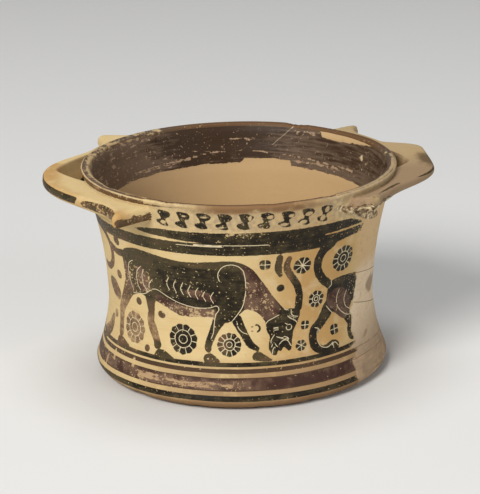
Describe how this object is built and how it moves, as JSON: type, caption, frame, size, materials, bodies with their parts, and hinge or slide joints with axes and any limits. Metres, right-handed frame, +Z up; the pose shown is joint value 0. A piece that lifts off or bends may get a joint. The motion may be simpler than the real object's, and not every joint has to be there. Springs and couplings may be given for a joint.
{
  "type": "pyxis",
  "caption": "Concave-sided open clay pyxis with flat spurred strap handles below the rim and a painted black-figure animal frieze; lid missing.",
  "frame": {"origin": "on the body's axis, in the plane of the resting ring of the underside", "axes": "+Z up along the body's axis, +X towards the middle of the handle with the broken spurs, -Y the painted side seen in the picture"},
  "size_m": [0.1932, 0.156, 0.1035],
  "materials": {
    "clay": "matte fired clay, slip-painted"
  },
  "bodies": {
    "root": {"vessel": "clay"}
  },
  "joints": []
}
